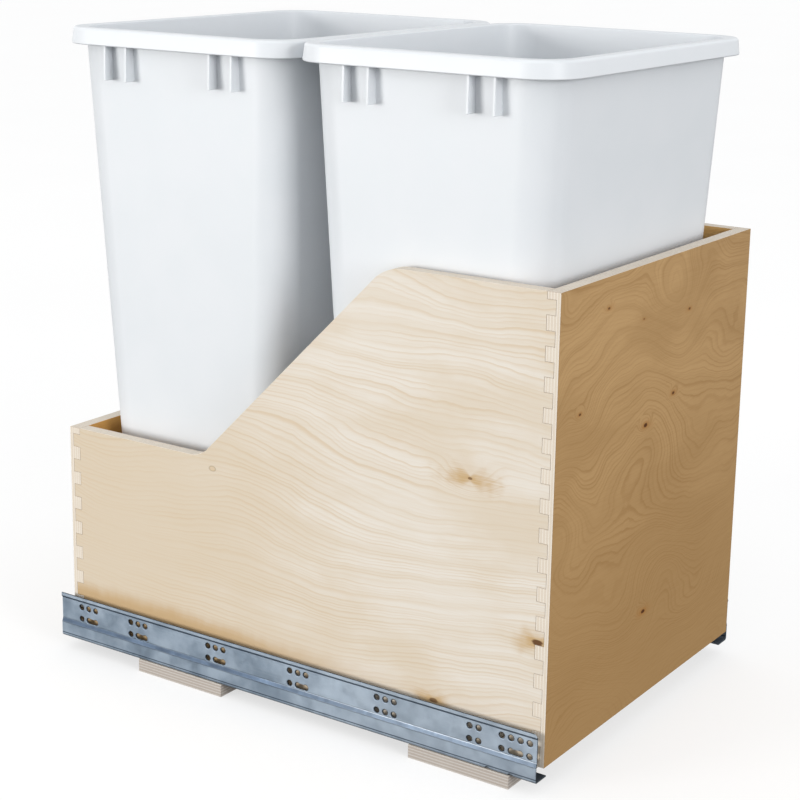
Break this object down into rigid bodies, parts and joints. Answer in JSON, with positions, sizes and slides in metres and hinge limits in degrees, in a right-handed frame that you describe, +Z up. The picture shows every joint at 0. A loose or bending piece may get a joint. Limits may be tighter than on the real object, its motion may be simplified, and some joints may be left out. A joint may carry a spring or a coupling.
{
  "type": "pull out bin frame",
  "caption": "Plywood box with a swept side and finger joints that carries two tapered waste bins and pulls out of a cabinet on full-extension undermount slides.",
  "frame": {"origin": "bottom centre of the bounding box, on the cabinet floor under the cleats", "axes": "+Z up; +Y from the front panel towards the back of the cabinet, so the drawer pulls out along -Y; +X to the right seen from the front"},
  "size_m": [0.381, 0.543, 0.6096],
  "materials": {
    "birch_plywood": "clear satin lacquer",
    "raw_plywood": "raw sanded edge",
    "zinc_steel": "galvanised",
    "bright_steel": "bright",
    "white_plastic": "satin moulded",
    "dark_plastic": "fine texture",
    "light_plastic": "fine texture",
    "clip_plastic": "fine texture"
  },
  "bodies": {
    "base": {"left_cabinet_profile": "zinc_steel", "right_cabinet_profile": "zinc_steel", "left_guide_strip": "zinc_steel", "right_guide_strip": "zinc_steel", "left_soft_close_housing": "dark_plastic", "right_soft_close_housing": "dark_plastic", "left_soft_close_cover": "dark_plastic", "right_soft_close_cover": "dark_plastic", "left_damper_cylinder": "bright_steel", "right_damper_cylinder": "bright_steel", "left_closing_spring": "bright_steel", "right_closing_spring": "bright_steel", "front_cleat": "raw_plywood", "rear_cleat": "raw_plywood", "cleat_screws": "bright_steel", "housing_rivets": "bright_steel"},
    "drawer": {"front_panel": "birch_plywood", "back_panel": "birch_plywood", "bottom_panel": "birch_plywood", "left_side_panel": "birch_plywood", "right_side_panel": "birch_plywood", "clip_screws": "bright_steel", "lever_pins": "bright_steel", "left_drawer_profile": "zinc_steel", "right_drawer_profile": "zinc_steel", "left_rear_hook": "bright_steel", "right_rear_hook": "bright_steel", "left_closing_tab": "zinc_steel", "right_closing_tab": "zinc_steel", "left_locking_clip": "clip_plastic", "right_locking_clip": "clip_plastic"},
    "front_waste_bin": {"front_bin": "white_plastic"},
    "rear_waste_bin": {"rear_bin": "white_plastic"},
    "left_middle_member": {"left_intermediate_profile": "zinc_steel"},
    "left_lower_carriage": {"left_lower_cage": "dark_plastic", "left_lower_rollers": "bright_steel"},
    "left_upper_carriage": {"left_upper_cage": "dark_plastic", "left_upper_rollers": "bright_steel"},
    "left_catch_slider": {"left_catch": "light_plastic", "left_damper_rod": "bright_steel"},
    "left_lever": {"left_release_lever": "light_plastic"},
    "right_middle_member": {"right_intermediate_profile": "zinc_steel"},
    "right_lower_carriage": {"right_lower_cage": "dark_plastic", "right_lower_rollers": "bright_steel"},
    "right_upper_carriage": {"right_upper_cage": "dark_plastic", "right_upper_rollers": "bright_steel"},
    "right_catch_slider": {"right_catch": "light_plastic", "right_damper_rod": "bright_steel"},
    "right_lever": {"right_release_lever": "light_plastic"}
  },
  "joints": [
    {"name": "drawer_slide", "type": "slide", "parent": "base", "child": "drawer", "axis": [0, -1, 0], "range_m": [0, 0.52]},
    {"name": "left_middle_member_slide", "type": "slide", "parent": "base", "child": "left_middle_member", "axis": [0, -1, 0], "range_m": [0, 0.26]},
    {"name": "left_lower_carriage_slide", "type": "slide", "parent": "base", "child": "left_lower_carriage", "axis": [0, -1, 0], "range_m": [0, 0.13]},
    {"name": "left_upper_carriage_slide", "type": "slide", "parent": "base", "child": "left_upper_carriage", "axis": [0, -1, 0], "range_m": [0, 0.39]},
    {"name": "left_catch_slide", "type": "slide", "parent": "base", "child": "left_catch_slider", "axis": [0, -1, 0], "range_m": [0, 0.042], "stiffness_N_per_m": 300, "springref_m": -0.03, "deforming": ["left_closing_spring"]},
    {"name": "left_lever_hinge", "type": "hinge", "parent": "drawer", "child": "left_lever", "pos_m": [-0.1255, -0.2078, 0.03], "axis": [0, 0, -1], "range_deg": [0, 10], "stiffness_Nm_per_rad": 0.5},
    {"name": "right_middle_member_slide", "type": "slide", "parent": "base", "child": "right_middle_member", "axis": [0, -1, 0], "range_m": [0, 0.26]},
    {"name": "right_lower_carriage_slide", "type": "slide", "parent": "base", "child": "right_lower_carriage", "axis": [0, -1, 0], "range_m": [0, 0.13]},
    {"name": "right_upper_carriage_slide", "type": "slide", "parent": "base", "child": "right_upper_carriage", "axis": [0, -1, 0], "range_m": [0, 0.39]},
    {"name": "right_catch_slide", "type": "slide", "parent": "base", "child": "right_catch_slider", "axis": [0, -1, 0], "range_m": [0, 0.042], "stiffness_N_per_m": 300, "springref_m": -0.03, "deforming": ["right_closing_spring"]},
    {"name": "right_lever_hinge", "type": "hinge", "parent": "drawer", "child": "right_lever", "pos_m": [0.1255, -0.2078, 0.03], "axis": [0, 0, 1], "range_deg": [0, 10], "stiffness_Nm_per_rad": 0.5},
    {"name": "front_bin_lift", "type": "slide", "parent": "drawer", "child": "front_waste_bin", "axis": [0, 0, 1], "range_m": [0, 0.6]},
    {"name": "rear_bin_lift", "type": "slide", "parent": "drawer", "child": "rear_waste_bin", "axis": [0, 0, 1], "range_m": [0, 0.6]}
  ],
  "couplings": [
    {"joint": "left_middle_member_slide", "follows": "drawer_slide", "ratio": 0.5},
    {"joint": "left_lower_carriage_slide", "follows": "drawer_slide", "ratio": 0.25},
    {"joint": "left_upper_carriage_slide", "follows": "drawer_slide", "ratio": 0.75},
    {"joint": "right_middle_member_slide", "follows": "drawer_slide", "ratio": 0.5},
    {"joint": "right_lower_carriage_slide", "follows": "drawer_slide", "ratio": 0.25},
    {"joint": "right_upper_carriage_slide", "follows": "drawer_slide", "ratio": 0.75}
  ]
}
